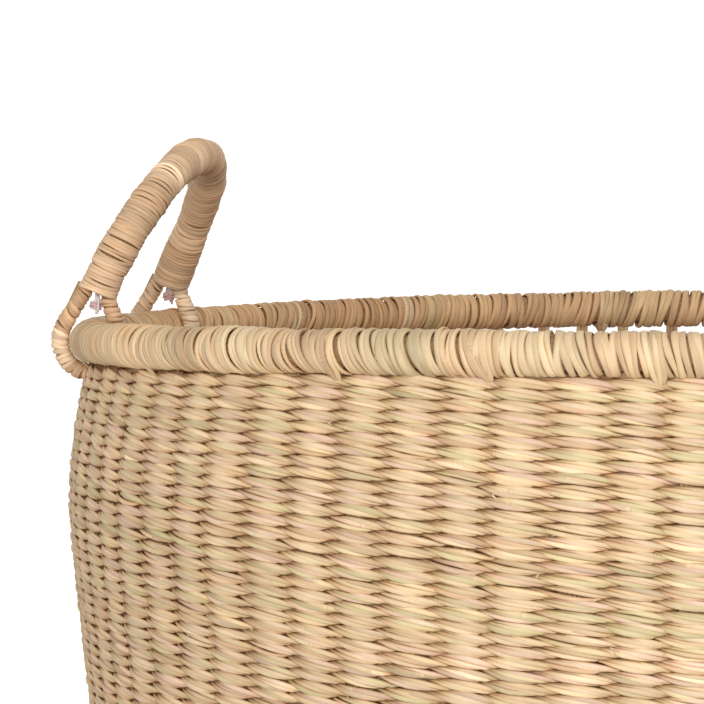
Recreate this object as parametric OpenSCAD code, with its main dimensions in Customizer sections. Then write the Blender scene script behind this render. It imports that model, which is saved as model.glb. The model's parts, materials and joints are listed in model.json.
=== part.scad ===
// Round storage basket twined from grass, with a wrapped rim and two wrapped carrying handles.
// Millimetres. The basket stands on Z = 0, centred on the Z axis, and the handles lie along X.

/* [Basket] */
// Height of the rim's centreline where the handles are
rim_z = 350; // [320:1:400]
// Radius of the rim's centreline
rim_radius = 238; // [225:1:250]
// How much higher the rim is at the front and back than at the handles
rim_rise = 4.5; // [3:0.5:7]
// How far the wall swells between its top and its belly
belly_swell = 7; // [4:0.5:9]
// Depth of the belly below the rim's centreline
belly_depth = 63; // [50:1:80]
// Slope of the wall below the belly, inwards per millimetre down
wall_taper = 0.11; // [0.08:0.01:0.14]
// Outside radius of the rounded corner between wall and base
corner_radius = 28; // [22:1:34]
// Radius of the crossed bundle at the centre of the base
start_radius = 30; // [26:1:36]

/* [Weave] */
// Thickness of the outer or the inner passes of the twined weft
weft_thickness = 2.3; // [2:0.1:2.5]
// Thickness of the flat stakes
stake_thickness = 1.3; // [1:0.1:1.5]
// Width of a stake in the wall
stake_width = 8; // [6:0.5:9]
// Width of a stake in the base
spoke_width = 3.6; // [3:0.2:4]
// Room between a stake and the weft on each side
stake_play = 0.3; // [0.25:0.05:0.4]

/* [Rim] */
// Radius of the grass bundle inside the rim
rim_core_r = 6; // [5:0.1:6.2]
// Radius of the rim over its wrapping
rim_wrap_r = 8.1; // [7.8:0.1:8.1]
// Width of a lashing that holds the rim to the wall
lashing_width = 2.4; // [2:0.1:3]
// Thickness of a lashing
lashing_thickness = 1.3; // [1:0.1:1.5]

/* [Handles] */
// Angle between a handle's middle and each of its feet, seen from above
foot_angle = 15; // [15:5:15]
// Height of the arch's centreline above its hinge line
arch_rise = 76.3; // [70:0.1:84]
// Squareness of the arch, from an ellipse at 2 upwards
arch_squareness = 2.35; // [2.2:0.05:3]
// How far each leg stands out from the hinge line, across the rim
arch_offset = 8.2; // [7:0.1:9]
// How far each handle leans in over the basket
handle_lean = 28.5; // [20:0.5:32]
// Radius of the grass bundle inside a handle
handle_core_r = 5.6; // [5:0.1:5.7]
// Radius of a handle over its wrapping
handle_wrap_r = 7.2; // [7:0.1:7.6]
// Radius over the wrapping at a handle's feet
foot_wrap_r = 7.7; // [7.6:0.1:8]
// Radius of a foot loop's centreline round the rim
loop_ring_r = 12.6; // [12.4:0.1:12.8]
// Radius of the half bundle inside a foot loop
loop_core_r = 2; // [1.6:0.1:2.3]
// Radius of a foot loop over its wrapping
loop_wrap_r = 3.2; // [3:0.1:3.3]
// Height above the hinge line at which a leg forks into its loop
fork_height = 18; // [17.5:0.1:21]

/* [Hidden] */

straw = [0.86, 0.72, 0.54];
pale_straw = [0.93, 0.86, 0.80];
brown_straw = [0.66, 0.50, 0.35];
tie_pink = [0.80, 0.62, 0.60];

$fn = 120;

// Wall: its layers from the outside in
stake_depth = weft_thickness + stake_play;
inner_depth = stake_depth + stake_thickness + stake_play;
wall_thickness = inner_depth + weft_thickness;

// Wall: its profile, by depth below the rim's centreline
wall_top_depth = 9.6;
wall_top_r = rim_radius + 2;
belly_r = wall_top_r + belly_swell;
belly_bend = 8;
rim_curve_r = (rim_radius * rim_radius + rim_rise * rim_rise) / (2 * rim_rise);
profile_start = wall_top_depth - rim_rise - 2;
upper_steps = 10;
upper_end = belly_depth + 45;
taper_angle = atan(wall_taper);
corner_depth = rim_z - corner_radius * (1 - sin(taper_angle));
lower_steps = 6;
base_r = wall_r(corner_depth) - corner_radius * cos(taper_angle);
corner_steps = 6;
edge_steps = 12;

// Stakes
stake_count = 76;
stake_step = 360 / stake_count;
short_spoke_start = 90;

// Lashings
lashing_step = 2 * stake_step;
lashing_inner_r = rim_wrap_r + 0.3;
lashing_bottom = 13;
lashing_front = 2.9;
lashing_back = -5.3;
lashing_corner_shift = 1.15;
window_w = lashing_width + 0.6;
window_h = lashing_thickness + 1.3;
window_depth = lashing_bottom + lashing_thickness / 2;

// Handles
chord_x = rim_radius * cos(foot_angle);
foot_y = rim_radius * sin(foot_angle);
hinge_z = rim_z + saddle(foot_y);
arch_half_span = foot_y / pow(1 - pow(fork_height / arch_rise, arch_squareness), 1 / arch_squareness);
arch_start_angle = asin(pow(fork_height / arch_rise, arch_squareness / 2));
flare_height = 18;
wrap_gap = 0.15;

// Foot loops: a ring round the rim, closed by an outer and an inner strand that meet under the leg
strand_spread = 5.1;
strand_top_height = fork_height + 0.5;
outer_top = [-arch_offset - strand_spread, strand_top_height];
inner_top = [-arch_offset + strand_spread, strand_top_height];
outer_turn = atan2(outer_top[0], outer_top[1]) - acos(loop_ring_r / norm(outer_top));
inner_turn = atan2(inner_top[0], inner_top[1]) + acos(loop_ring_r / norm(inner_top));
ring_arc = 360 - (inner_turn - outer_turn);
strand_overlap = 1;
strand_step = 0.15;
strand_excess = 6;
notch_w = 2 * loop_wrap_r + 2;
notch_depth = loop_ring_r + loop_wrap_r + 1.2;
notch_reach = asin((notch_w + stake_width) / 2 / rim_radius);

// Core tails and ties in the forks
tail_r = 0.6;
tail_length = 8.5;
tail_out = 8.9;
tail_tilt = 20;
tie_place = 5.5;
tie_ring_r = 1.45;
tie_thread_r = 0.55;

sides = 12;
rim_rings_per_quarter = 18;
arch_rings = 36;

// Height of the rim and the wall's top above their lowest level, at a distance y from the X axis
function saddle(y) = rim_curve_r - sqrt(rim_curve_r * rim_curve_r - y * y);

// Outside radius of the wall at a depth below the rim's centreline, and its slope there
function wall_r(depth) = depth < belly_depth
    ? belly_r - belly_swell * pow((belly_depth - depth) / (belly_depth - wall_top_depth), 2)
    : belly_r - wall_taper * (sqrt(pow(depth - belly_depth, 2) + belly_bend * belly_bend) - belly_bend);
function wall_slope(depth) = depth < belly_depth
    ? 2 * belly_swell * (belly_depth - depth) / pow(belly_depth - wall_top_depth, 2)
    : -wall_taper * (depth - belly_depth) / sqrt(pow(depth - belly_depth, 2) + belly_bend * belly_bend);

// Depths at which the wall's profile has a point, from the top down to the corner
function wall_depths(start) = concat(
    [for (i = [0 : upper_steps - 1]) start + (upper_end - start) * i / upper_steps],
    [for (i = [0 : lower_steps]) upper_end + (corner_depth - upper_end) * i / lower_steps]
);

// Profile points with their outward normals, as [radius, height, normal radius, normal height]
function wall_profile(start) = concat(
    [for (depth = wall_depths(start))
        let (slope = wall_slope(depth), length = sqrt(1 + slope * slope))
        [wall_r(depth), rim_z - depth, 1 / length, slope / length]],
    [for (i = [1 : corner_steps])
        let (turn = -taper_angle - (90 - taper_angle) * i / corner_steps)
        [base_r + corner_radius * cos(turn), corner_radius * (1 + sin(turn)), cos(turn), sin(turn)]]
);

// Outline of one layer of the wall, between two depths below its outer surface
function inset(profile, amount) = [for (p = profile) [p[0] - amount * p[2], p[1] - amount * p[3]]];
function reversed(list) = [for (i = [len(list) - 1 : -1 : 0]) list[i]];
function layer(start, outer, inner) = concat(
    inset(wall_profile(start), outer),
    reversed(inset(wall_profile(start), inner))
);

// One ring of points round the rim's centreline
function rim_ring(angle, r) = [for (k = [0 : sides - 1])
    let (turn = 360 * k / sides, out = rim_radius + r * cos(turn))
    [out * cos(angle), out * sin(angle), rim_z + saddle(rim_radius * sin(angle)) - r * sin(turn)]];

// Centreline of the arch, its direction, and one ring of points round it
function arch_point(t) = let (
    angle = arch_start_angle + (180 - 2 * arch_start_angle) * t,
    c = cos(angle)
) [-arch_offset, -sign(c) * arch_half_span * pow(abs(c), 2 / arch_squareness),
   arch_rise * pow(sin(angle), 2 / arch_squareness)];
function arch_direction(t) = t <= 0 ? [0, 0, 1] : t >= 1 ? [0, 0, -1]
    : let (d = arch_point(t + 0.002) - arch_point(t - 0.002)) d / norm(d);
function flare(p) = pow(max(0, 1 - (p[2] - fork_height) / flare_height), 2);
function arch_ring(t, r, foot_r) = let (
    p = arch_point(t),
    side = [1, 0, 0],
    up = cross(arch_direction(t), side),
    ring_r = r + (foot_r - r) * flare(p)
) [for (k = [0 : sides - 1]) p + ring_r * (cos(360 * k / sides) * side + sin(360 * k / sides) * up)];

// Triangles that join rings of points, from the ring numbered first
function ring_sides(first, count) = [for (i = [0 : count - 2], k = [0 : sides - 1])
    let (a = (first + i) * sides + k, b = (first + i) * sides + (k + 1) % sides)
    each [[a, b + sides, b], [a, a + sides, b + sides]]];
function flipped(faces) = [for (f = faces) reversed(f)];
function all_points(rings) = [for (ring = rings) each ring];
function cap(ring) = [for (k = [0 : sides - 1]) ring * sides + k];

// A solid bar through the rings
module bar(rings) {
    polyhedron(all_points(rings), concat(
        ring_sides(0, len(rings)),
        [cap(0)],
        [reversed(cap(len(rings) - 1))]
    ));
}

// A closed loop through the rings
module closed_bar(rings) {
    polyhedron(all_points(concat(rings, [rings[0]])), ring_sides(0, len(rings) + 1));
}

// A hollow bar between two sets of rings
module hollow_bar(outer, inner) {
    count = len(outer);
    last = count - 1;
    polyhedron(all_points(concat(outer, inner)), concat(
        ring_sides(0, count),
        flipped(ring_sides(count, count)),
        [for (k = [0 : sides - 1]) let (n = (k + 1) % sides)
            each [[k, n, count * sides + n], [k, count * sides + n, count * sides + k]]],
        [for (k = [0 : sides - 1]) let (n = (k + 1) % sides, o = last * sides, i = (count + last) * sides)
            each [[o + k, i + n, o + n], [o + k, i + k, i + n]]]
    ));
}

// Everything above the wall's top edge, which rises to the front and back as the rim does
module above_wall_top() {
    reach = 1.2 * rim_radius;
    edge = [for (i = [-edge_steps : edge_steps]) let (y = reach * i / edge_steps)
        [y, rim_z - wall_top_depth + saddle(y)]];
    rotate([90, 0, 90])
        linear_extrude(2 * reach, center = true)
            polygon(concat(edge, [[reach, rim_z + reach], [-reach, rim_z + reach]]));
}

// Slots in the wall's top for the four foot loops
module foot_notches() {
    for (x = [-chord_x, chord_x], y = [-foot_y, foot_y])
        translate([x, y, rim_z - notch_depth / 2])
            cube([24, notch_w, notch_depth], center = true);
}

// Windows in the wall for the lashings
module lashing_windows() {
    for (angle = [0 : lashing_step : 359])
        rotate([0, 0, angle])
            translate([rim_radius, 0, rim_z + saddle(rim_radius * sin(angle)) - window_depth])
                cube([24, window_w, window_h], center = true);
}

module wall_weft(outer, inner) {
    difference() {
        rotate_extrude() polygon(layer(profile_start, outer, inner));
        above_wall_top();
        foot_notches();
        lashing_windows();
    }
}

module wall_weft_outer() {
    color(straw) wall_weft(0, weft_thickness);
}

module wall_weft_inner() {
    color(straw) wall_weft(inner_depth, wall_thickness);
}

// Depth of a stake's top: those beside a foot loop stop below its notch
function near_foot(angle) = abs(abs(angle % 180 - 90) - (90 - foot_angle)) < notch_reach;
function stake_top(angle) = near_foot(angle)
    ? notch_depth + 0.5
    : wall_top_depth - saddle(rim_radius * sin(angle)) + 0.5;

module wall_stakes() {
    color(brown_straw)
        for (i = [0 : stake_count - 1])
            let (angle = (i + 0.5) * stake_step, top = stake_top(angle))
                rotate([0, 0, angle]) rotate([90, 0, 0])
                    linear_extrude(stake_width, center = true)
                        polygon(layer(top, stake_depth, stake_depth + stake_thickness));
}

module base_start() {
    color(straw) cylinder(r = start_radius, h = wall_thickness);
}

module base_weft(low) {
    translate([0, 0, low])
        difference() {
            cylinder(r = base_r, h = weft_thickness);
            translate([0, 0, -1]) cylinder(r = start_radius, h = weft_thickness + 2);
        }
}

module base_weft_outer() {
    color(straw) base_weft(0);
}

module base_weft_inner() {
    color(straw) base_weft(inner_depth);
}

module base_spokes() {
    color(brown_straw)
        for (i = [0 : stake_count - 1])
            let (start = i % 2 == 0 ? start_radius + 1 : short_spoke_start)
                rotate([0, 0, (i + 0.5) * stake_step])
                    translate([start, -spoke_width / 2, stake_depth])
                        cube([base_r - start - 0.5, spoke_width, stake_thickness]);
}

module rim_core() {
    count = 4 * rim_rings_per_quarter;
    color(brown_straw)
        closed_bar([for (i = [0 : count - 1]) rim_ring(360 * i / count, rim_core_r)]);
}

module rim_wrap(middle) {
    angles = [for (i = [0 : rim_rings_per_quarter]) middle - 45 + 90 * i / rim_rings_per_quarter];
    color(straw)
        hollow_bar(
            [for (angle = angles) rim_ring(angle, rim_wrap_r)],
            [for (angle = angles) rim_ring(angle, rim_core_r + wrap_gap)]
        );
}

module lashing() {
    function outline(r, shift) = concat(
        [for (angle = [-30 : 15 : 195]) [r * cos(angle), r * sin(angle)]],
        [[lashing_back - shift, -lashing_bottom - (shift > 0 ? lashing_thickness : 0)],
         [lashing_front + shift, -lashing_bottom - (shift > 0 ? lashing_thickness : 0)]]
    );
    rotate([90, 0, 0])
        linear_extrude(lashing_width, center = true)
            difference() {
                polygon(outline(lashing_inner_r + lashing_thickness, lashing_corner_shift));
                polygon(outline(lashing_inner_r, 0));
            }
}

module rim_stitches() {
    color(straw)
        for (angle = [0 : lashing_step : 359])
            rotate([0, 0, angle])
                translate([rim_radius, 0, rim_z + saddle(rim_radius * sin(angle))])
                    lashing();
}

// Carries a handle's piece from its own frame, with the hinge line along Y, to its place
module at_left() {
    translate([-chord_x, 0, hinge_z]) rotate([0, handle_lean, 0]) children();
}

module at_right() {
    rotate([0, 0, 180]) at_left() children();
}

module handle_core() {
    color(brown_straw)
        bar([for (i = [0 : arch_rings]) arch_ring(i / arch_rings, handle_core_r, handle_core_r)]);
}

module handle_wrap() {
    inner_r = handle_core_r + wrap_gap;
    color(straw)
        hollow_bar(
            [for (i = [0 : arch_rings]) arch_ring(i / arch_rings, handle_wrap_r, foot_wrap_r)],
            [for (i = [0 : arch_rings]) arch_ring(i / arch_rings, inner_r, inner_r)]
        );
}

// A straight bar from the ring round the rim, where it meets it at a turn from the top, past a point
module strand(turn, top, r) {
    foot = loop_ring_r * [sin(turn), cos(turn)];
    rise = top - foot;
    translate([foot[0], 0, foot[1]])
        rotate([0, atan2(rise[0], rise[1]), 0])
            translate([0, 0, -strand_overlap])
                cylinder(r = r, h = norm(rise) + strand_overlap + strand_excess);
}

// Everything above the plane where a leg forks
module above_fork() {
    translate([-25, -20, fork_height]) cube([50, 40, 20]);
}

// The outer shape of a foot loop at a given radius of its bar, round the Y axis
module loop_solid(r) {
    rotate([90, 0, 0]) rotate([0, 0, 90 - outer_turn])
        rotate_extrude(angle = ring_arc) translate([loop_ring_r, 0]) circle(r);
    difference() {
        union() {
            strand(outer_turn, outer_top, r - strand_step);
            strand(inner_turn, inner_top, r - strand_step);
        }
        above_fork();
    }
}

module loop_core(end) {
    color(pale_straw) translate([0, end * foot_y, 0]) loop_solid(loop_core_r);
}

module loop_wrap(end) {
    color(straw) translate([0, end * foot_y, 0])
        difference() {
            loop_solid(loop_wrap_r);
            loop_solid(loop_core_r);
        }
}

// Points down and in from the middle of the fork at each foot, between its two strands
module in_forks() {
    for (end = [-1, 1])
        translate([-tail_out, end * foot_y, fork_height]) rotate([0, 180 - tail_tilt, 0]) children();
}

module core_tails() {
    color(pale_straw)
        difference() {
            in_forks() translate([0, 0, -1]) cylinder(r = tail_r, h = tail_length + 1);
            for (end = [-1, 1]) translate([0, end * foot_y, 0]) above_fork();
        }
}

module fork_ties() {
    color(tie_pink)
        in_forks() translate([0, 0, tie_place])
            rotate_extrude() translate([tie_ring_r, 0]) circle(tie_thread_r);
}

base_start();
base_spokes();
base_weft_outer();
base_weft_inner();
wall_stakes();
wall_weft_outer();
wall_weft_inner();
rim_core();
rim_wrap(-90);  // rim_wrap_front
rim_wrap(0);  // rim_wrap_right
rim_wrap(90);  // rim_wrap_back
rim_wrap(180);  // rim_wrap_left
rim_stitches();
at_left() handle_core();  // left_handle_core
at_left() handle_wrap();  // left_handle_wrap
at_left() loop_core(-1);  // left_loop_front_core
at_left() loop_wrap(-1);  // left_loop_front_wrap
at_left() loop_core(1);  // left_loop_back_core
at_left() loop_wrap(1);  // left_loop_back_wrap
at_left() core_tails();  // left_core_tails
at_left() fork_ties();  // left_fork_ties
at_right() handle_core();  // right_handle_core
at_right() handle_wrap();  // right_handle_wrap
at_right() loop_core(1);  // right_loop_front_core
at_right() loop_wrap(1);  // right_loop_front_wrap
at_right() loop_core(-1);  // right_loop_back_core
at_right() loop_wrap(-1);  // right_loop_back_wrap
at_right() core_tails();  // right_core_tails
at_right() fork_ties();  // right_fork_ties
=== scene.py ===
"""The looks of a round storage basket twined from dried grass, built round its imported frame.

Lengths are in metres. The basket stands on Z = 0 with its axis on Z, and its handles lie along X.
Every straw is its own closed tube: two strands of three straws twine round the stakes row by row,
and separate straws are whipped round the rim, the handles and the loops that hang them on it.
"""
import json
import math

import bpy
import numpy as np
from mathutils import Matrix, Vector


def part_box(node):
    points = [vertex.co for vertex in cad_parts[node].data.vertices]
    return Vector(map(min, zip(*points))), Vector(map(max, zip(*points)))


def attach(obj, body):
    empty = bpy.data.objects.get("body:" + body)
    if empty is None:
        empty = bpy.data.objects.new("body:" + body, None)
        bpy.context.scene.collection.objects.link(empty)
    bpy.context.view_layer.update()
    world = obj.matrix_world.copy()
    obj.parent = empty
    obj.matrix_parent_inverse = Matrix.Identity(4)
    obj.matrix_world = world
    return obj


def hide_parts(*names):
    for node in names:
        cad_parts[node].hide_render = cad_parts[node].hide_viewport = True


MM = 0.001
UP = np.array([0.0, 0.0, 1.0])

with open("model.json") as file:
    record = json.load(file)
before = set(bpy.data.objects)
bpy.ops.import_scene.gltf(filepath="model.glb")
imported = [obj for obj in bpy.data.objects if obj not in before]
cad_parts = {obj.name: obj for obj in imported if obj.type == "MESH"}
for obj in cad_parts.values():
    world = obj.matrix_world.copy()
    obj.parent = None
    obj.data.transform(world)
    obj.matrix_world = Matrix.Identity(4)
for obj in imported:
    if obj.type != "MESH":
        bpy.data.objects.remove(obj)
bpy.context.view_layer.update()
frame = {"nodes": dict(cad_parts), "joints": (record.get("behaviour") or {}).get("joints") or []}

# ---------------------------------------------------------------- sizes, from the frame

RIM_CORE_R = 6 * MM
core_low, core_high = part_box("rim_core")
RIM_RADIUS = core_high.x - RIM_CORE_R
RIM_Z = core_low.z + RIM_CORE_R
RIM_RISE = core_high.z - core_low.z - 2 * RIM_CORE_R
RIM_CURVE = (RIM_RADIUS**2 + RIM_RISE**2) / (2 * RIM_RISE)
RIM_WRAP_R = core_low.z + RIM_CORE_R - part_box("rim_wrap_left")[0].z

# The wall's profile: depths below the rim's centreline, and radii to the outer face
WALL_TOP_DEPTH = 8.9 * MM
TOP_EXTRA = 2.5 * MM
WALL_TOP_R = RIM_RADIUS + 2 * MM
BELLY_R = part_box("wall_weft_outer")[1].x
BELLY_DEPTH = 63 * MM
BELLY_BEND = 8 * MM
WALL_TAPER = 0.11
CORNER_R = 28 * MM
WALL_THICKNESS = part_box("base_start")[1].z

# The rim's rise at front and back is carried whole to this depth, and has gone at the second one
SADDLE_TOP = 10 * MM
SADDLE_END = 160 * MM

STAKES = 76
ROW_PITCH = 4 * MM
FOOT_ANGLE = math.radians(15)
HINGE = {j["child"]: Vector(j["pos_m"]) for j in frame["joints"]}
FOOT_Y = RIM_RADIUS * math.sin(FOOT_ANGLE)

# Handles, in their own frame: distance in over the basket, along the hinge line, and up from it
HANDLE_LEAN = math.radians(28.5)
ARCH_RISE = 76.3 * MM
ARCH_SQUARENESS = 2.35
ARCH_OFFSET = 8.2 * MM
FORK_HEIGHT = 18 * MM
LOOP_RING_R = 12.1 * MM
FOOT_TUCK = 1.8 * MM
FOOT_TUCK_HEIGHT = 14 * MM
STRAND_SPREAD = 4.6 * MM

# ---------------------------------------------------------------- straw colours, linear, with shares

WALL_STRAWS = [
    ((0.84, 0.64, 0.41), 7),
    ((0.81, 0.60, 0.37), 5),
    ((0.86, 0.62, 0.45), 4),
    ((0.82, 0.65, 0.39), 3),
    ((0.74, 0.62, 0.36), 3),
    ((0.76, 0.52, 0.32), 2),
    ((0.89, 0.69, 0.47), 2),
]
RIM_STRAWS = [
    ((0.82, 0.61, 0.37), 6),
    ((0.78, 0.56, 0.34), 5),
    ((0.83, 0.65, 0.40), 3),
    ((0.73, 0.59, 0.36), 1),
    ((0.68, 0.46, 0.28), 2),
]
HANDLE_STRAWS = [
    ((0.86, 0.60, 0.38), 5),
    ((0.82, 0.55, 0.33), 4),
    ((0.88, 0.66, 0.45), 3),
    ((0.72, 0.46, 0.27), 1),
]
STAKE_STRAWS = [((0.52, 0.32, 0.16), 3), ((0.60, 0.40, 0.22), 2)]
CORE_STRAWS = [((0.88, 0.80, 0.80), 3), ((0.82, 0.68, 0.66), 1)]
TIE_THREADS = [((0.76, 0.56, 0.56), 1), ((0.70, 0.46, 0.44), 1)]


def pick_colours(rng, palette, count, spread=0.07):
    """Random straw colours from a palette, each a little lighter or darker than its entry."""
    colours = np.array([c for c, share in palette])
    weights = np.array([share for c, share in palette], float)
    chosen = colours[rng.choice(len(colours), count, p=weights / weights.sum())]
    return chosen * (1 + spread * rng.standard_normal((count, 1)))


def colour_runs(rng, palette, count, shortest, longest):
    """A colour and a straw number for each of count steps, which change where one straw ends."""
    ends = np.cumsum(rng.integers(shortest, longest + 1, count // shortest + 2))
    straw = np.searchsorted(ends, np.arange(count), side="right")
    return pick_colours(rng, palette, straw.max() + 1)[straw], straw


# ---------------------------------------------------------------- meshes from rings of points


def unit(vectors):
    return vectors / np.linalg.norm(vectors, axis=-1, keepdims=True)


def section_rings(path, normal, half_width, half_thickness, sides=6, closed=False):
    """Rings round each path: path and normal are (tubes, steps, 3), the sizes (tubes, steps)."""
    if closed:
        tangent = np.roll(path, -1, axis=1) - np.roll(path, 1, axis=1)
    else:
        tangent = np.gradient(path, axis=1)
    tangent = unit(tangent)
    normal = unit(normal - (normal * tangent).sum(-1, keepdims=True) * tangent)
    across = np.cross(tangent, normal)
    turn = 2 * math.pi * (np.arange(sides) + 0.5) / sides
    out = np.cos(turn)[None, None, :, None] * half_thickness[..., None, None]
    side = np.sin(turn)[None, None, :, None] * half_width[..., None, None]
    return path[:, :, None] + out * normal[:, :, None] + side * across[:, :, None]


# Painted shade where a straw dives between others: its colour is darkened, in green and blue more than
# in red
PAINTED_SHADE_WARMTH = np.array([0.9, 1.3, 1.8])


def tube_object(name, material, rings, colours, straw, closed=False, dim=None):
    """One object from rings (tubes, steps, sides, 3), with each step's colour and straw number.

    Its last argument, (tubes, steps), is painted shade: it darkens the colour where the straw dives
    between its neighbours.
    """
    tubes, steps, sides, _ = rings.shape
    me = bpy.data.meshes.new(name)
    me.vertices.add(tubes * steps * sides)
    me.vertices.foreach_set("co", rings.astype(np.float32).ravel())
    t = np.arange(tubes)[:, None, None] * steps * sides
    r = np.arange(steps if closed else steps - 1)[None, :, None]
    k = np.arange(sides)[None, None, :]
    here, after = t + r * sides, t + (r + 1) % steps * sides
    quads = np.stack(
        [here + k, here + (k + 1) % sides, after + (k + 1) % sides, after + k], -1
    ).reshape(-1, 4)
    corners = [quads.ravel()]
    sizes = [np.full(len(quads), 4)]
    if not closed:
        first = (np.arange(tubes) * steps * sides)[:, None] + np.arange(sides)[None, ::-1]
        last = ((np.arange(tubes) + 1) * steps * sides - sides)[:, None] + np.arange(sides)[None, :]
        corners += [first.ravel(), last.ravel()]
        sizes += [np.full(2 * tubes, sides)]
    corners, sizes = np.concatenate(corners), np.concatenate(sizes)
    me.loops.add(len(corners))
    me.loops.foreach_set("vertex_index", corners.astype(np.int32))
    me.polygons.add(len(sizes))
    starts = np.concatenate([[0], np.cumsum(sizes)[:-1]])
    me.polygons.foreach_set("loop_start", starts.astype(np.int32))
    me.polygons.foreach_set("use_smooth", np.ones(len(sizes), bool))
    me.update(calc_edges=True)
    me.validate()

    # Painted shade where the straw dives, browner in its darker parts
    shade = np.ones((tubes, steps)) if dim is None else dim
    rgba = np.ones((tubes, steps, sides, 4), np.float32)
    rgba[..., :3] = (colours * shade[..., None] ** PAINTED_SHADE_WARMTH)[:, :, None]
    me.color_attributes.new("straw_colour", "FLOAT_COLOR", "POINT")
    me.color_attributes["straw_colour"].data.foreach_set("color", rgba.ravel())
    middle = rings.mean(axis=2)
    lengths = np.linalg.norm(np.diff(middle, axis=1), axis=-1)
    along = np.concatenate([np.zeros((tubes, 1)), np.cumsum(lengths, axis=1)], axis=1)
    if closed:
        gap = np.linalg.norm(middle[:, -1] - middle[:, 0], axis=-1)
        along = np.minimum(along, along[:, -1:] + gap[:, None] - along)
    grain = np.zeros((tubes, steps, sides, 3), np.float32)
    grain[..., 0] = along[:, :, None]
    grain[..., 1] = np.abs((np.arange(sides) + 0.5) / sides - 0.5)[None, None]
    grain[..., 2] = straw[:, :, None]
    me.attributes.new("grain", "FLOAT_VECTOR", "POINT")
    me.attributes["grain"].data.foreach_set("vector", grain.ravel())
    me.materials.append(material)
    ob = bpy.data.objects.new(name, me)
    bpy.context.scene.collection.objects.link(ob)
    return ob


# ---------------------------------------------------------------- materials


def new_material(name):
    """A material with a Principled shader, and a short way to add its nodes and links."""
    mat = bpy.data.materials.new(name)
    mat.use_nodes = True
    nodes, links = mat.node_tree.nodes, mat.node_tree.links
    shader = nodes["Principled BSDF"]

    def add(kind, settings=None, **inputs):
        node = nodes.new(kind)
        for key, value in (settings or {}).items():
            setattr(node, key, value)
        for key, value in inputs.items():
            socket = node.inputs[int(key[1:]) if key[1:].isdigit() else key.replace("_", " ")]
            if isinstance(value, bpy.types.NodeSocket):
                links.new(value, socket)
            else:
                socket.default_value = value
        return node

    return mat, shader, add, links


# The first tint below is painted shade at a straw's edges, where it meets its neighbours; the second is
# the brown of age
EDGE_SHADE_TINT = (0.74, 0.58, 0.43)
AGED_TINT = (0.66, 0.52, 0.42)
BUNDLE_COLOUR = (0.46, 0.28, 0.14, 1)


def fibre_material(name, coordinates, roughness, streaks, blotches, bump, edge_shade=0.0):
    """Dried grass: fibres along each straw, painted shade at each straw's edges, blotches of age, and
    fine ribs.

    coordinates is "grain", the straws' own (along, around, number), or "Object" for CAD nodes.
    """
    mat, shader, add, links = new_material(name)
    if coordinates == "grain":
        place = add("ShaderNodeAttribute", {"attribute_name": "grain"}).outputs["Vector"]
        base = add("ShaderNodeAttribute", {"attribute_name": "straw_colour"}).outputs["Color"]
        fine = (35.0, 9.0, 3.7)
        coarse = (60.0, 1.0, 5.3)
    else:
        place = add("ShaderNodeTexCoord").outputs["Object"]
        base = add("ShaderNodeRGB").outputs[0]
        base.default_value = BUNDLE_COLOUR
        fine = (900.0, 900.0, 60.0)
        coarse = (90.0, 90.0, 20.0)
    fibres = add(
        "ShaderNodeTexNoise",
        {"noise_dimensions": "3D"},
        Vector=add("ShaderNodeVectorMath", {"operation": "MULTIPLY"}, _0=place, _1=fine).outputs[0],
        Scale=1.0,
        Detail=3.0,
        Roughness=0.6,
    ).outputs["Fac"]
    ages = add(
        "ShaderNodeTexNoise",
        {"noise_dimensions": "3D"},
        Vector=add("ShaderNodeVectorMath", {"operation": "MULTIPLY"}, _0=place, _1=coarse).outputs[0],
        Scale=1.0,
        Detail=2.0,
    ).outputs["Fac"]
    light = add(
        "ShaderNodeMapRange",
        _0=fibres,
        From_Min=0.25,
        From_Max=0.75,
        To_Min=1 - streaks,
        To_Max=1 + streaks * 0.6,
    ).outputs[0]
    aged = add(
        "ShaderNodeMapRange", _0=ages, From_Min=0.5, From_Max=0.8, To_Min=0.0, To_Max=blotches
    ).outputs[0]
    lit = add("ShaderNodeVectorMath", {"operation": "SCALE"}, _0=base, Scale=light).outputs[0]
    brown = add("ShaderNodeVectorMath", {"operation": "MULTIPLY"}, _0=lit, _1=AGED_TINT).outputs[0]
    mixed = add("ShaderNodeMix", {"data_type": "RGBA"}, _0=aged, _6=lit, _7=brown).outputs[2]
    # Painted shade towards the straw's edges, where it meets its neighbours
    if edge_shade:
        around = add("ShaderNodeSeparateXYZ", _0=place).outputs["Y"]
        edge = add(
            "ShaderNodeMapRange", _0=around, From_Min=0.40, From_Max=0.22, To_Min=0.0, To_Max=edge_shade
        ).outputs[0]
        dark = add("ShaderNodeVectorMath", {"operation": "MULTIPLY"}, _0=mixed, _1=EDGE_SHADE_TINT).outputs[0]
        mixed = add("ShaderNodeMix", {"data_type": "RGBA"}, _0=edge, _6=mixed, _7=dark).outputs[2]
    links.new(mixed, shader.inputs["Base Color"])
    rough = add(
        "ShaderNodeMapRange", _0=fibres, To_Min=roughness - 0.08, To_Max=roughness + 0.12
    ).outputs[0]
    links.new(rough, shader.inputs["Roughness"])
    relief = add("ShaderNodeBump", Strength=bump, Distance=0.0003, Height=fibres)
    links.new(relief.outputs[0], shader.inputs["Normal"])
    shader.inputs["Specular IOR Level"].default_value = 0.35
    return mat


WEFT = fibre_material("weft_straw", "grain", 0.58, 0.26, 0.35, 0.6, edge_shade=0.8)
WRAP = fibre_material("wrapping_straw", "grain", 0.52, 0.34, 0.35, 0.7, edge_shade=0.9)
STAKE = fibre_material("stake_straw", "grain", 0.65, 0.20, 0.40, 0.40)
CORE = fibre_material("core_straw", "grain", 0.60, 0.12, 0.20, 0.30)
TIE = fibre_material("tie_thread", "grain", 0.70, 0.15, 0.20, 0.40)
BUNDLE = fibre_material("grass_bundle", "Object", 0.70, 0.35, 0.40, 0.50)


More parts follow.
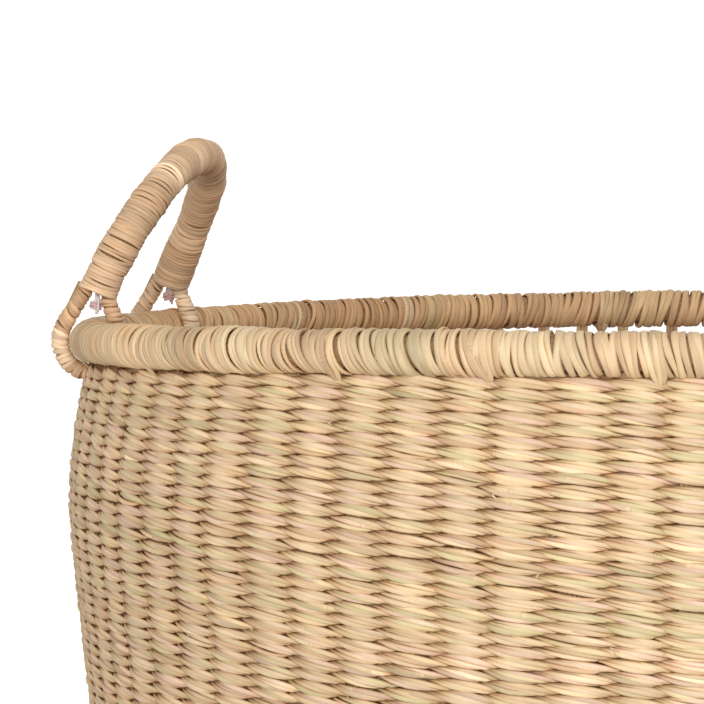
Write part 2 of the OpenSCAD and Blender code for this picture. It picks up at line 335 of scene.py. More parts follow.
def add_piece(ob, body, slot, *nodes):
    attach(ob, body)
    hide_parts(*nodes)


# ---------------------------------------------------------------- the wall's and base's surface


def saddle(y):
    """How much higher the rim is at a distance y from the X axis than at the handles."""
    return RIM_CURVE - np.sqrt(RIM_CURVE**2 - y**2)


def wall_profile():
    """The wall's and base's middle surface from the centre out and up: length, r, z, normal r, z."""
    lean = math.atan(WALL_TAPER)
    corner_depth = RIM_Z - CORNER_R * (1 - math.sin(lean))
    depth = np.linspace(corner_depth, WALL_TOP_DEPTH - TOP_EXTRA, 160)
    above = 2 * (BELLY_R - WALL_TOP_R) * (BELLY_DEPTH - depth) / (BELLY_DEPTH - WALL_TOP_DEPTH) ** 2
    reach = np.sqrt((depth - BELLY_DEPTH) ** 2 + BELLY_BEND**2)
    below = -WALL_TAPER * (depth - BELLY_DEPTH) / reach
    slope = np.where(depth < BELLY_DEPTH, above, below)
    swell = (BELLY_R - WALL_TOP_R) * ((BELLY_DEPTH - depth) / (BELLY_DEPTH - WALL_TOP_DEPTH)) ** 2
    r = BELLY_R - np.where(depth < BELLY_DEPTH, swell, WALL_TAPER * (reach - BELLY_BEND))
    size = np.sqrt(1 + slope**2)
    wall = np.stack([r, RIM_Z - depth, 1 / size, slope / size])
    centre = r[0] - CORNER_R * math.cos(lean)
    turn = np.linspace(-math.pi / 2, -lean, 24)[:-1]
    corner = np.stack(
        [centre + CORNER_R * np.cos(turn), CORNER_R * (1 + np.sin(turn)), np.cos(turn), np.sin(turn)]
    )
    flat = np.linspace(0, centre, 60)[:-1]
    base = np.stack([flat, 0 * flat, 0 * flat, 0 * flat - 1])
    points = np.concatenate([base, corner, wall], axis=1)
    points[:2] -= points[2:] * WALL_THICKNESS / 2
    lengths = np.hypot(*np.diff(points[:2], axis=1))
    return np.concatenate([[np.concatenate([[0], np.cumsum(lengths)])], points])


PROFILE = wall_profile()
PROFILE_END = PROFILE[0, -1] - TOP_EXTRA


def on_wall(s, theta, lift):
    """Points at length s up the profile and angle theta, lifted off its middle surface."""
    r, z, nr, nz = (np.interp(s, PROFILE[0], row) for row in PROFILE[1:])
    cos, sin = np.cos(theta), np.sin(theta)
    point = np.stack([(r + lift * nr) * cos, (r + lift * nr) * sin, z + lift * nz], -1)
    rise = np.clip((z - (RIM_Z - SADDLE_END)) / (SADDLE_END - SADDLE_TOP), 0, 1)
    point[..., 2] += saddle(point[..., 1]) * rise * rise * (3 - 2 * rise)
    return point, np.stack([nr * cos, nr * sin, nz], -1)


# ---------------------------------------------------------------- twined weft

STEPS_PER_STAKE = 6
# How far a strand swings in and out of the wall's middle surface, and up and down in its row
WEFT_LIFT = 2.15 * MM
WEFT_SLANT = 1.7 * MM
WEFT_HALF_WIDTH = 1.1 * MM
WEFT_HALF_THICKNESS = 0.72 * MM
STRAW_SPREAD = 0.76 * MM
# In stakes: how far a stitch runs on past halfway at each end, and how far its straws and dives lag
OUTSIDE_EXTRA = 0.09
STRAW_STAGGER = 0.16
STRAW_LIFT_STAGGER = 0.11
DIVE_LAG = 0.09
# A straw's least width where it dives between two stakes, and the least brightness of the painted shade
# there
DIVE_WIDTH = 0.40
DIVE_PAINTED_SHADE = 0.36
# Noise in a straw's size, slow and fine, and in its stagger, its lift and its place up the wall
SIZE_NOISE = 0.12
FINE_SIZE_NOISE = 0.07
STAGGER_NOISE = 0.06
LIFT_NOISE = 0.20 * MM
PLACE_NOISE = 0.21 * MM
# How far the rows wave up and down, and how many of them make one object
ROW_WAVE = 0.5 * MM
BAND_ROWS = 7
# How far the stakes stand off their even spacing, in stakes
STAKE_NOISE = 0.07
weave_rng = np.random.default_rng(11)
STAKE_DRIFT = STAKE_NOISE * weave_rng.standard_normal(STAKES)


def stake_angle(place, count):
    """The angle of a place counted in stakes, with each stake a little off its even spacing."""
    everywhere = np.append(STAKE_DRIFT, STAKE_DRIFT[0])
    drift = np.interp((place * STAKES / count) % STAKES, np.arange(STAKES + 1), everywhere)
    return 2 * math.pi * (place / count + drift / STAKES)


def slow_noise(rng, length, step):
    """Smooth noise of size 1 over length samples, with a new value every step samples."""
    knots = rng.standard_normal(length // step + 3)
    return np.interp(np.arange(length) / step, np.arange(len(knots)), knots)


def stitch_phase(turn):
    """Slows a straw's turn outside a stake, so that its stitch runs on past the start of the next."""
    q = (turn + 1) % 2 - 1
    edge = 0.5 + OUTSIDE_EXTRA
    return np.interp(q, (-1, -edge, edge, 1), (-1, -0.5, 0.5, 1))


def slanting(q):
    """From 1 to -1 and back as a straw passes outside a stake, at q = 0, and then inside the next."""
    wave = np.sin(math.pi * q)
    return -0.85 * 2 / math.pi * np.arcsin(np.clip(wave, -1, 1)) - 0.15 * wave


def weft_straw(rng, place, count, row_s, strand, member):
    """One straw of a twined strand: path, normal, half width, half thickness, colour, number and painted
    shade.
    """
    total = len(place)
    step = STEPS_PER_STAKE
    turn = stitch_phase(place + strand)
    swing = np.cos(math.pi * (turn - member * STRAW_LIFT_STAGGER - DIVE_LAG))
    reach = np.abs(swing)
    size = 1 + SIZE_NOISE * slow_noise(rng, total, 3 * step)
    size = size + FINE_SIZE_NOISE * slow_noise(rng, total, step)
    lift = WEFT_LIFT * np.sign(swing) * reach**0.8 + LIFT_NOISE * slow_noise(rng, total, step)
    stagger = STRAW_STAGGER + STAGGER_NOISE * slow_noise(rng, total, 2 * step)
    s = row_s + WEFT_SLANT * slanting(turn - member * stagger)
    s = s + member * STRAW_SPREAD * reach**0.8 + PLACE_NOISE * slow_noise(rng, total, step)
    theta = stake_angle(place, count)
    path, normal = on_wall(s, theta, lift)
    narrow = DIVE_WIDTH + (1 - DIVE_WIDTH) * reach**0.7
    colour, straw = colour_runs(rng, WALL_STRAWS, total, 3 * step, 24 * step)
    # Painted shade, darkest where the straw dives between two stakes
    dim = DIVE_PAINTED_SHADE + (1 - DIVE_PAINTED_SHADE) * reach**0.5
    width = WEFT_HALF_WIDTH * size * narrow
    thickness = WEFT_HALF_THICKNESS * size * (0.6 + 0.4 * narrow)
    return path, normal, width, thickness, colour, straw, dim


def weft_rows(name, rng, count, start, end, node_names, slot, gap=0.0):
    """A spiral of twined weft round count stakes, in objects of a few rows each.

    gap is how far short of its end the last row stops at the back.
    """
    per_row = count * STEPS_PER_STAKE
    rows = round((end - start) / ROW_PITCH)
    place = np.arange(rows * per_row + 1) / STEPS_PER_STAKE
    theta = stake_angle(place, count)
    row_s = start + (end - gap * (0.5 + 0.5 * np.sin(theta)) - start) * place / (rows * count)
    row_s = row_s + ROW_WAVE * np.sin(3 * theta + row_s * 40) * np.sin(5 * theta - row_s * 65 + 1)
    straws = [
        weft_straw(rng, place, count, row_s, strand, member)
        for strand in (0, 1)
        for member in (-1, 0, 1)
    ]
    for first in range(0, rows, BAND_ROWS):
        span = slice(first * per_row, min(rows, first + BAND_ROWS) * per_row + 1)
        path, normal, width, thickness, colour, straw, dim = (
            np.stack([one[i][span] for one in straws]) for i in range(7)
        )
        rings = section_rings(path, normal, width, thickness)
        band = f"{name}_{first // BAND_ROWS + 1:02d}"
        ob = tube_object(band, WEFT, rings, colour, straw, dim=dim)
        add_piece(ob, "basket", slot, *node_names)


START_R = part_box("base_start")[1].x
MIDDLE_R = 62 * MM
OUTER_R = 114 * MM
BASE_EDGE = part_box("base_weft_outer")[1].x
HUB_R = 11 * MM
HUB_SPOKES = 12
HUB_REACH = HUB_R + 5 * MM
HUB_STRAWS = 7
HUB_STRAW_PITCH = 1.9 * MM
HUB_HALF_WIDTH = 1.15 * MM
HUB_COVER = 0.8 * MM
TOP_ROW_RISE = 0.9 * MM
REAR_GAP = 3.8 * MM


def make_weave():
    base = ["base_weft_outer", "base_weft_inner"]
    wall = ["wall_weft_outer", "wall_weft_inner"]
    rng = np.random.default_rng(21)
    weft_rows("base_rows_start", rng, HUB_SPOKES, HUB_R, START_R, ["base_start"], "base_weave")
    weft_rows("base_rows_inner", rng, STAKES // 4, START_R, MIDDLE_R, base, "base_weave")
    weft_rows("base_rows_middle", rng, STAKES // 2, MIDDLE_R, OUTER_R, base, "base_weave")
    weft_rows("base_rows_outer", rng, STAKES, OUTER_R, BASE_EDGE, base, "base_weave")
    rng = np.random.default_rng(22)
    top = PROFILE_END + TOP_ROW_RISE
    weft_rows("wall_rows", rng, STAKES, BASE_EDGE, top, wall, "wall_weave", REAR_GAP)


def make_hub():
    """The crossed bunches of straw in the middle of the base, where the weaving starts."""
    rng = np.random.default_rng(24)
    bunches, steps = HUB_SPOKES // 2, 13
    count = bunches * HUB_STRAWS
    layer = np.repeat(np.arange(bunches), HUB_STRAWS)[:, None]
    beside = np.tile(np.arange(HUB_STRAWS) - (HUB_STRAWS - 1) / 2, bunches)[:, None] * HUB_STRAW_PITCH
    along = np.linspace(-1, 1, steps)[None] * HUB_REACH
    beside = beside * (1 - 0.45 * (along / HUB_REACH) ** 2)
    heading = math.pi * layer / bunches + 0.03 * rng.standard_normal((count, 1))
    x = along * np.cos(heading) - beside * np.sin(heading)
    y = along * np.sin(heading) + beside * np.cos(heading)
    middle = WALL_THICKNESS / 2
    level = HUB_COVER + (WALL_THICKNESS - 2 * HUB_COVER) * layer / (bunches - 1)
    z = middle + (level - middle) * np.cos(along / HUB_REACH * math.pi / 2) ** 0.6
    path = np.stack([x, y, z], -1)
    width = np.full((count, steps), HUB_HALF_WIDTH)
    rings = section_rings(path, np.broadcast_to(UP, path.shape), width, 0.4 * width)
    colours = np.repeat(pick_colours(rng, WALL_STRAWS, count)[:, None], steps, 1)
    straw = np.repeat(np.arange(count)[:, None], steps, 1)
    ob = tube_object("base_hub", WEFT, rings, colours, straw)
    add_piece(ob, "basket", "base_weave", "base_start")


LOOSE_BUNCHES = 70
LOOSE_HALF_WIDTH = 0.42 * MM
LOOSE_LIFT = 1.4 * MM


def make_loose_ends():
    """Small bunches of cut straw ends that stand out between the stitches of the wall."""
    rng = np.random.default_rng(23)
    bunches, each, steps = LOOSE_BUNCHES, 3, 7
    count = bunches * each
    gap = np.repeat(rng.integers(0, STAKES, bunches) + 0.5 + rng.uniform(-0.2, 0.2, bunches), each)
    foot = np.repeat(rng.uniform(BASE_EDGE + 30 * MM, PROFILE_END - 8 * MM, bunches), each)
    foot = foot + 0.5 * MM * rng.standard_normal(count)
    length = rng.uniform(2, 4, count) * MM
    heading = np.repeat(rng.uniform(-0.9, 0.9, bunches), each) + 0.3 * rng.standard_normal(count)
    along = np.linspace(0, 1, steps)[None]
    reach = length[:, None] * along
    theta = stake_angle(gap, STAKES)[:, None] + reach * np.cos(heading)[:, None] / RIM_RADIUS
    lift = LOOSE_LIFT + 0.45 * reach * along
    path, normal = on_wall(foot[:, None] + reach * np.sin(heading)[:, None], theta, lift)
    width = LOOSE_HALF_WIDTH * (1 - 0.6 * along) * np.ones((count, 1))
    rings = section_rings(path, normal, width, 0.6 * width, sides=5)
    colours = np.repeat(0.92 * pick_colours(rng, WALL_STRAWS, count)[:, None], steps, 1)
    straw = np.repeat(np.arange(count)[:, None], steps, 1)
    ob = tube_object("wall_loose_ends", WEFT, rings, colours, straw)
    add_piece(ob, "basket", "wall_weave", "wall_weft_outer")


# ---------------------------------------------------------------- stakes


STAKE_STRAW_PITCH = 1.7 * MM
STAKE_HALF_WIDTH = 0.95 * MM
STAKE_NUDGE = 0.3 * MM
# Stakes closer than this to a foot loop stop lower by the second measure
LOOP_ROOM = 8 * MM
LOOP_STOP = 13 * MM


def make_stakes():
    """Bunches of straw up the wall, which stop short where a handle's foot loop passes."""
    rng = np.random.default_rng(31)
    places = np.arange(STAKES)
    lows = np.where(places % 4 == 0, START_R, np.where(places % 2 == 0, MIDDLE_R, OUTER_R))
    steps = 60
    top = PROFILE[0, -1] + 2 * MM
    paths, normals, colours, straws = [], [], [], []
    for i in range(STAKES):
        from_loop = abs(RIM_RADIUS * abs(math.sin(2 * math.pi * i / STAKES)) - FOOT_Y)
        stop = top - LOOP_STOP if from_loop < LOOP_ROOM else top
        for side in (-1, 0, 1):
            s = np.linspace(lows[i] + 4 * MM, stop, steps)
            r = np.interp(s, PROFILE[0], PROFILE[1])
            offset = side * STAKE_STRAW_PITCH + STAKE_NUDGE * slow_noise(rng, steps, 8)
            theta = stake_angle(np.full(steps, float(i)), STAKES) + offset / r
            path, normal = on_wall(s, theta, 0.2 * MM * slow_noise(rng, steps, 8))
            paths.append(path)
            normals.append(normal)
            colours.append(np.repeat(pick_colours(rng, STAKE_STRAWS, 1), steps, 0))
            straws.append(np.full(steps, 3 * i + side))
    path = np.stack(paths)
    width = np.full(path.shape[:2], STAKE_HALF_WIDTH)
    rings = section_rings(path, np.stack(normals), width, 0.8 * width, sides=5)
    ob = tube_object("stakes", STAKE, rings, np.stack(colours), np.stack(straws))
    add_piece(ob, "basket", "stakes", "wall_stakes", "base_spokes")


# ---------------------------------------------------------------- wrapping round a bundle


class Bundle:
    """A bundle's centreline with its direction and two directions square to it, by length."""

    def __init__(self, points, side):
        self.points = points
        self.length = np.concatenate([[0], np.cumsum(np.linalg.norm(np.diff(points, axis=0), axis=1))])
        self.tangent = unit(np.gradient(points, self.length, axis=0))
        side = side - (side * self.tangent).sum(-1, keepdims=True) * self.tangent
        self.side = unit(side)
        self.up = np.cross(self.tangent, self.side)

    def at(self, place):
        rows = (self.points, self.tangent, self.side, self.up)
        return [np.stack([np.interp(place, self.length, v[:, i]) for i in range(3)], -1) for v in rows]


TURN_STEPS = 24


def wrap_turns(bundle, rng, places, radius, lean, half_width, half_thickness, palette, run, stray=1.0):
    """Closed turns of straw round a bundle, which lie on each other a little and twist as they go.

    radius, lean and half_width have one value a turn, and stray is how unevenly a turn lies.
    """
    count = len(places)
    turn = np.linspace(0, 2 * math.pi, TURN_STEPS, endpoint=False) + math.pi / 2
    turn = np.tile(turn, (count, 1))
    bend, twist = rng.uniform(0, 2 * math.pi, (2, count, 1))
    place = places[:, None] + lean[:, None] * radius[:, None] * np.sin(turn)
    wander = 0.30 * np.sin(turn + twist) + 0.16 * np.sin(2 * turn + bend)
    place = place + stray * half_width[:, None] * wander
    point, tangent, side, up = bundle.at(place)
    out = np.cos(turn)[..., None] * side + np.sin(turn)[..., None] * up
    reach = 1 + stray * (0.020 * np.sin(turn + bend) + 0.012 * np.sin(3 * turn + twist))
    reach = radius[:, None] * reach
    path = point + reach[..., None] * out
    width = half_width[:, None] * (1 + 0.20 * np.sin(2 * turn + 1.7 * bend))
    colours, straw = colour_runs(rng, palette, count, *run)
    colours = colours * (1 + 0.06 * rng.standard_normal((count, 1)))
    tilt = (0.22 * np.sin(turn + twist) + 0.12 * rng.standard_normal((count, 1)))[..., None]
    rings = section_rings(
        path, out + tilt * tangent, width, np.full_like(width, half_thickness), sides=8, closed=True
    )
    spread = (np.repeat(v[:, None], TURN_STEPS, 1) for v in (colours, straw + rng.random(count)))
    return (rings, *spread)


RIM_STRAW_PITCH = 2.3 * MM
RIM_STRAW_HALF_WIDTH = 1.42 * MM
RIM_STRAW_HALF_THICKNESS = 0.68 * MM
# The centreline of the wrapping straws lies this far inside the wrapped rim's face
RIM_STRAW_INSET = 0.75 * MM
# The rim's centreline starts and ends this many radians beyond a full turn
RIM_LEAD = 0.1


def rim_bundle():
    theta = np.linspace(-RIM_LEAD, 2 * math.pi + RIM_LEAD, 1500)
    x, y = RIM_RADIUS * np.cos(theta), RIM_RADIUS * np.sin(theta)
    points = np.stack([x, y, RIM_Z + saddle(y)], -1)
    return Bundle(points, np.stack([np.cos(theta), np.sin(theta), 0 * theta], -1))


RIM = rim_bundle()
RIM_LENGTH = 2 * math.pi * RIM_RADIUS


# The rim's colour by angle, partly painted shade: angles, and how much red, green and blue it keeps at
# each. The broad darkening at the back, from about 50 to 185 degrees, is painted shade on the rim's
# shaded inner face together with darker straw; the narrow dips further round are darker batches of
# straw.
RIM_SHADE_AND_BATCHES = (
    (0, 50, 90, 135, 165, 185, 222, 226, 231, 246, 250, 254, 360),
    (1, 0.95, 1.02, 0.82, 0.88, 1, 1, 0.86, 1, 1, 0.88, 1, 1),
    (1, 0.86, 0.90, 0.70, 0.78, 1, 1, 0.93, 1, 1, 0.95, 1, 1),
    (1, 0.76, 0.80, 0.59, 0.69, 1, 1, 0.91, 1, 1, 0.92, 1, 1),
)


def make_rim():
    rng = np.random.default_rng(41)
    count = round(RIM_LENGTH / RIM_STRAW_PITCH)
    places = (np.arange(count) + 0.16 * rng.standard_normal(count)) * RIM_LENGTH / count
    lean = 0.22 + 0.10 * slow_noise(rng, count, 5) + 0.07 * rng.standard_normal(count)
    radius = RIM_WRAP_R - RIM_STRAW_INSET + 0.19 * MM * rng.standard_normal(count)
    radius = radius + 0.25 * MM * slow_noise(rng, count, 14)
    width = RIM_STRAW_HALF_WIDTH * (1 + 0.15 * rng.standard_normal(count))
    start = RIM_LEAD * RIM_RADIUS
    rings, colours, straw = wrap_turns(
        RIM, rng, places + start, radius, lean, width, RIM_STRAW_HALF_THICKNESS, RIM_STRAWS, (2, 9)
    )
    angle = np.degrees(places / RIM_RADIUS) % 360
    stops, *channels = RIM_SHADE_AND_BATCHES
    shade_and_batch = np.stack([np.interp(angle, stops, channel) for channel in channels], -1)
    # Painted shade on the back of the rim, with darker batches of straw
    colours = colours * shade_and_batch[:, None]
    quarter = ((places / RIM_LENGTH * 8 + 1) // 2 % 4).astype(int)
    for i, side in enumerate(("right", "back", "left", "front")):
        mine = quarter == i
        name = f"rim_wrapping_{side}"
        ob = tube_object(name, WRAP, rings[mine], colours[mine], straw[mine], closed=True)
        add_piece(ob, "basket", "rim_wrapping", f"rim_wrap_{side}")


# How far a lashing goes below the rim's centreline, and the half angle at which it leaves the rim
LASHING_DEPTH = 11.2 * MM
LASHING_SPREAD = 0.62
LASHING_STEPS = 32
LASHING_TURNS = 3
LASHING_PITCH = 1.8 * MM
LASHING_HALF_WIDTH = 1.35 * MM
LASHING_INSET = 0.6 * MM


def make_lashings():
    """Turns that go round the rim and down between two stakes through the top row of the weave."""
    rng = np.random.default_rng(43)
    gaps = np.cumsum(rng.integers(2, 6, STAKES))
    gaps = gaps[gaps < STAKES] + 0.5
    angles = np.repeat(stake_angle(gaps, STAKES), LASHING_TURNS)
    beside = np.tile(np.arange(LASHING_TURNS) - 1, len(gaps)) * LASHING_PITCH
    places = RIM_RADIUS * (angles + RIM_LEAD) + beside + 0.3 * MM * rng.standard_normal(len(angles))
    count = len(places)
    turn = np.tile(np.linspace(-math.pi, math.pi, LASHING_STEPS, endpoint=False), (count, 1))
    down = np.clip(1 - np.abs(turn - math.pi / 2) / LASHING_SPREAD, 0, 1)
    lean = 0.20 + 0.06 * rng.standard_normal((count, 1))
    place = places[:, None] + lean * RIM_WRAP_R * (np.sin(turn) - 1) - 0.7 * beside[:, None] * down
    point, _, side, up = RIM.at(place)
    radius = RIM_WRAP_R - LASHING_INSET
    depth = LASHING_DEPTH * (0.9 + 0.1 * rng.random((count, 1)))
    edge_across, edge_below = radius * math.sin(LASHING_SPREAD), radius * math.cos(LASHING_SPREAD)
    across = np.where(down > 0, np.sign(np.cos(turn)) * edge_across * (1 - down), radius * np.cos(turn))
    below = np.where(down > 0, edge_below + (depth - edge_below) * down**0.85, radius * np.sin(turn))
    path = point + across[..., None] * side + below[..., None] * up
    width = LASHING_HALF_WIDTH * (1 - 0.35 * down)
    rings = section_rings(path, path - point, width, 0.42 * width, closed=True)
    colours = np.repeat(pick_colours(rng, RIM_STRAWS, count)[:, None] * 0.97, LASHING_STEPS, 1)
    straw = np.repeat(np.arange(count)[:, None], LASHING_STEPS, 1)
    ob = tube_object("rim_lashings", WRAP, rings, colours, straw, closed=True)
    add_piece(ob, "basket", "lashing", "rim_stitches")


# ---------------------------------------------------------------- handles


def handle_place(side, points):
    """Moves points from a handle's own frame (in over the basket, along the hinge, up) to its place."""
    x, y, v = np.moveaxis(np.asarray(points, float), -1, 0)
    cos, sin = math.cos(HANDLE_LEAN), math.sin(HANDLE_LEAN)
    turned = np.stack([x * cos + v * sin, y, -x * sin + v * cos], -1)
    if side == "right":
        turned = turned * [-1, -1, 1]
    return turned + np.array(HINGE[f"{side}_handle"])


def arch_points(count=240):
    half_span = FOOT_Y / (1 - (FORK_HEIGHT / ARCH_RISE) ** ARCH_SQUARENESS) ** (1 / ARCH_SQUARENESS)
    start = math.asin((FORK_HEIGHT / ARCH_RISE) ** (ARCH_SQUARENESS / 2))
    turn = np.linspace(start, math.pi - start, count)
    c, s = np.cos(turn), np.sin(turn)
    y = -np.sign(c) * half_span * np.abs(c) ** (2 / ARCH_SQUARENESS)
    height = ARCH_RISE * s ** (2 / ARCH_SQUARENESS)
    x = FOOT_TUCK * np.exp((FORK_HEIGHT - height) / FOOT_TUCK_HEIGHT) - ARCH_OFFSET
    return np.stack([x, y, height], -1)


def loop_points(end, count=120):
    """A foot loop's centreline: down one strand from the fork, round the rim, and up the other."""
    fork_x = FOOT_TUCK - ARCH_OFFSET
    tops = [np.array([fork_x + side * STRAND_SPREAD, FORK_HEIGHT - 0.5 * MM]) for side in (-1, 1)]
    turns = [
        math.atan2(*top) + side * math.acos(LOOP_RING_R / np.hypot(*top))
        for side, top in zip((-1, 1), tops)
    ]
    turn = np.linspace(turns[0] + 2 * math.pi, turns[1], count)
    ring = LOOP_RING_R * np.stack([np.sin(turn), np.cos(turn)], -1)
    steps = np.linspace(0, 1, 40)[:-1, None]
    outer = tops[0] + (ring[0] - tops[0]) * steps
    inner = tops[1] + (ring[-1] - tops[1]) * steps
    flat = np.concatenate([outer, ring, inner[::-1]])
    return np.stack([flat[:, 0], np.full(len(flat), end * FOOT_Y), flat[:, 1]], -1)


def bundle_in_place(side, points, across):
    placed = handle_place(side, points)
    origin = handle_place(side, np.zeros(3))
    return Bundle(placed, np.tile(handle_place(side, across) - origin, (len(placed), 1)))


FLARE_LENGTH = 7 * MM


def wrap_bundle(name, bundle, rng, radius, pitch, half_width, lean, flare=0.0):
    """A wrapped bundle, flare thicker at both ends than in between."""
    length = bundle.length[-1]
    count = round(length / pitch)
    places = (np.arange(count) + 0.5 + 0.11 * rng.standard_normal(count)) * length / count
    from_end = np.minimum(places, length - places)
    size = radius - half_width / 2 + flare * np.exp(-from_end / FLARE_LENGTH)
    size = size + radius * (0.011 * rng.standard_normal(count) + 0.038 * slow_noise(rng, count, 5))
    wander = half_width / radius
    leans = lean + wander * (0.35 * slow_noise(rng, count, 8) + 0.12 * rng.standard_normal(count))
    width = half_width * (1 + 0.14 * rng.standard_normal(count))
    rings, colours, straw = wrap_turns(
        bundle, rng, places, size, leans, width, 0.5 * half_width, HANDLE_STRAWS, (3, 12), stray=0.6
    )
    return tube_object(name, WRAP, rings, colours, straw, closed=True)


HANDLE_WRAP_R = 7.2 * MM
HANDLE_STRAW_PITCH = 1.35 * MM
HANDLE_STRAW_HALF_WIDTH = 0.96 * MM
HANDLE_STRAW_LEAN = 0.14
HANDLE_FLARE = 0.8 * MM
LOOP_WRAP_R = 3.4 * MM
LOOP_STRAW_PITCH = 1.9 * MM
LOOP_STRAW_HALF_WIDTH = 1.15 * MM
LOOP_STRAW_LEAN = 0.3
ARCH_WRAP = (HANDLE_WRAP_R, HANDLE_STRAW_PITCH, HANDLE_STRAW_HALF_WIDTH, HANDLE_STRAW_LEAN, HANDLE_FLARE)
LOOP_WRAP = (LOOP_WRAP_R, LOOP_STRAW_PITCH, LOOP_STRAW_HALF_WIDTH, LOOP_STRAW_LEAN)


def make_handle(side, seed):
    rng = np.random.default_rng(seed)
    body = f"{side}_handle"
    arch = bundle_in_place(side, arch_points(), (1, 0, 0))
    ob = wrap_bundle(f"{side}_handle_wrapping", arch, rng, *ARCH_WRAP)
    add_piece(ob, body, "handle_wrapping", f"{side}_handle_wrap")
    for end, place in ((-1, "front"), (1, "back")):
        if side == "right":
            place = {"front": "back", "back": "front"}[place]
        loop = bundle_in_place(side, loop_points(end), (0, 1, 0))
        name = f"{side}_loop_{place}"
        ob = wrap_bundle(f"{name}_wrapping", loop, rng, *LOOP_WRAP)
        add_piece(ob, body, "handle_wrapping", f"{name}_wrap")
    make_fork(side, rng)


TAIL_OUT = 6.8 * MM
TAIL_TILT = math.radians(23)
TAIL_STRAWS = 7
TIE_PLACE = 5.5 * MM
TIE_R = 2.4 * MM
TIE_TURNS = 3
TIE_PITCH = 0.8 * MM
FORK_HALF_WIDTH = 0.5 * MM


def in_fork(end, points):
    """Moves points (across, along the rim, down the fork) from a fork's own frame to the handle's."""
    x, y, down = np.moveaxis(points, -1, 0)
    cos, sin = math.cos(TAIL_TILT), math.sin(TAIL_TILT)
    return np.stack(
        [x * cos + down * sin - TAIL_OUT, y + end * FOOT_Y, FORK_HEIGHT + x * sin - down * cos], -1
    )


def make_fork(side, rng):
    """The core's pale straw ends in each fork, and the thread tied round them."""
    steps = 9
    tails = []
    for end in (-1, 1):
        for i in range(TAIL_STRAWS):
            foot = rng.uniform(-1, 1, 2) * [1.1 * MM, 1.6 * MM]
            down = np.linspace(-2 * MM, rng.uniform(6.5, 9) * MM, steps)
            fan = np.linspace(0.5, 1.5, steps)
            tails.append(in_fork(end, np.stack([foot[0] * fan, foot[1] * fan, down], -1)))
    path = handle_place(side, np.stack(tails))
    normal = np.tile([0.0, 1.0, 0.0], (*path.shape[:2], 1))
    width = np.full(path.shape[:2], FORK_HALF_WIDTH)
    rings = section_rings(path, normal, width, 0.7 * width, sides=5)
    colours = np.repeat(pick_colours(rng, CORE_STRAWS, len(path))[:, None], steps, 1)
    straw = np.repeat(np.arange(len(path))[:, None], steps, 1)
    ob = tube_object(f"{side}_fork_straws", CORE, rings, colours, straw)
    add_piece(ob, f"{side}_handle", "core_straw", f"{side}_core_tails")

    turn = np.linspace(0, 2 * math.pi, TURN_STEPS, endpoint=False)
    threads = []
    for end in (-1, 1):
        for i in range(TIE_TURNS):
            wide = TIE_R + 0.1 * MM * i
            down = TIE_PLACE + (i - 1) * TIE_PITCH + 0.4 * MM * np.sin(turn + i)
            ring = np.stack([0.8 * wide * np.cos(turn), wide * np.sin(turn), down], -1)
            threads.append(in_fork(end, ring))
    path = handle_place(side, np.stack(threads))
    middle = path.mean(axis=1, keepdims=True)
    width = np.full(path.shape[:2], FORK_HALF_WIDTH)
    rings = section_rings(path, path - middle, width, 0.7 * width, closed=True)
    colours = np.repeat(pick_colours(rng, TIE_THREADS, len(path))[:, None], TURN_STEPS, 1)
    straw = np.repeat(np.arange(len(path))[:, None], TURN_STEPS, 1)
    ob = tube_object(f"{side}_tie_threads", TIE, rings, colours, straw, closed=True)
    add_piece(ob, f"{side}_handle", "tie_thread", f"{side}_fork_ties")


# ---------------------------------------------------------------- camera, light and stage

CAMERA_TURN = math.radians(5.5)
CAMERA_DISTANCE = 1.572
CAMERA_ABOVE_RIM = 63 * MM
CAMERA_LENS = 205.97
CAMERA_SENSOR = 36
AIM_LEFT = math.radians(4.99)
AIM_DOWN = math.radians(2.48)


def make_camera():
    data = bpy.data.cameras.new("camera")
    data.sensor_width = CAMERA_SENSOR
    data.lens = CAMERA_LENS
    data.clip_end = 50
    ob = bpy.data.objects.new("camera", data)
    bpy.context.scene.collection.objects.link(ob)
    ob.location = (
        CAMERA_DISTANCE * math.sin(CAMERA_TURN),
        -CAMERA_DISTANCE * math.cos(CAMERA_TURN),
        RIM_Z + CAMERA_ABOVE_RIM,
    )
    heading = CAMERA_TURN + AIM_LEFT
    look = Vector(
        (
            -math.sin(heading) * math.cos(AIM_DOWN),
            math.cos(heading) * math.cos(AIM_DOWN),
            -math.sin(AIM_DOWN),
        )
    )
    ob.rotation_euler = look.to_track_quat("-Z", "Y").to_euler()
    bpy.context.scene.camera = ob


KEY_PLACE = Vector((0.35, -2.5, 0.85))
KEY_TARGET = Vector((0, 0, 0.3))
KEY_SIZE = 0.9
KEY_WATTS = 37


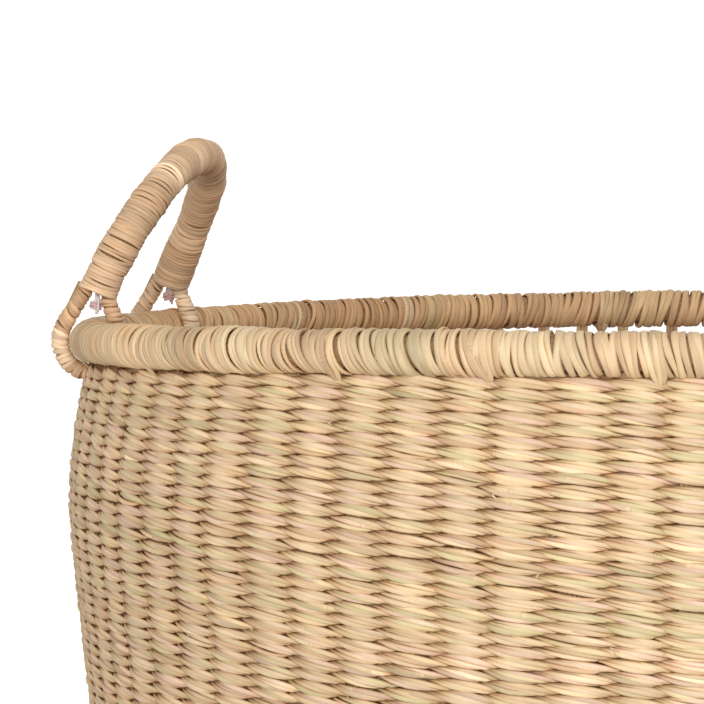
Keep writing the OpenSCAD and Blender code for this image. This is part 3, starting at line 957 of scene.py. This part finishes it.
def make_key_light():
    data = bpy.data.lights.new("key", "AREA")
    data.shape = "DISK"
    data.size = KEY_SIZE
    data.energy = KEY_WATTS
    ob = bpy.data.objects.new("key", data)
    bpy.context.scene.collection.objects.link(ob)
    ob.location = KEY_PLACE
    ob.rotation_euler = (KEY_TARGET - KEY_PLACE).to_track_quat("-Z", "Y").to_euler()


# The world's strength at left and right, and how much brighter it is behind the basket
WORLD_LEFT = 0.53
WORLD_RIGHT = 0.52
WORLD_BEHIND = 0.65
WORLD_COLOUR = (1, 0.975, 0.94, 1)
FLOOR_R = 1.45


def make_stage():
    """The lit world and a pale round floor."""
    world = bpy.data.worlds.new("studio")
    bpy.context.scene.world = world
    world.use_nodes = True
    nodes, links = world.node_tree.nodes, world.node_tree.links
    direction = nodes.new("ShaderNodeTexCoord").outputs["Generated"]
    parts = nodes.new("ShaderNodeSeparateXYZ")
    links.new(direction, parts.inputs[0])
    across, behind = (nodes.new("ShaderNodeMapRange") for i in range(2))
    ranges = ((across, "X", -1, 1, WORLD_LEFT, WORLD_RIGHT), (behind, "Y", 0.5, 0.9, 0, WORLD_BEHIND))
    for node, axis, *limits in ranges:
        links.new(parts.outputs[axis], node.inputs["Value"])
        for socket, value in zip(("From Min", "From Max", "To Min", "To Max"), limits):
            node.inputs[socket].default_value = value
    total = nodes.new("ShaderNodeMath")
    links.new(across.outputs[0], total.inputs[0])
    links.new(behind.outputs[0], total.inputs[1])
    links.new(total.outputs[0], nodes["Background"].inputs["Strength"])
    nodes["Background"].inputs["Color"].default_value = WORLD_COLOUR
    make_key_light()
    bpy.ops.mesh.primitive_circle_add(vertices=96, radius=FLOOR_R, fill_type="NGON", location=(0, 0, 0))
    floor = bpy.context.object
    floor.name = "floor"
    mat, shader, *_ = new_material("floor_paper")
    shader.inputs["Base Color"].default_value = (0.85, 0.85, 0.85, 1)
    shader.inputs["Roughness"].default_value = 0.9
    floor.data.materials.append(mat)
    bpy.context.scene.view_settings.view_transform = "Standard"


# ---------------------------------------------------------------- making it

make_camera()
make_stage()
make_weave()
make_hub()
make_loose_ends()
make_stakes()
make_rim()
make_lashings()
make_handle("left", 51)
make_handle("right", 52)
for node in frame["nodes"]:
    if node.endswith("_core"):
        frame["nodes"][node].data.materials.clear()
        frame["nodes"][node].data.materials.append(BUNDLE)
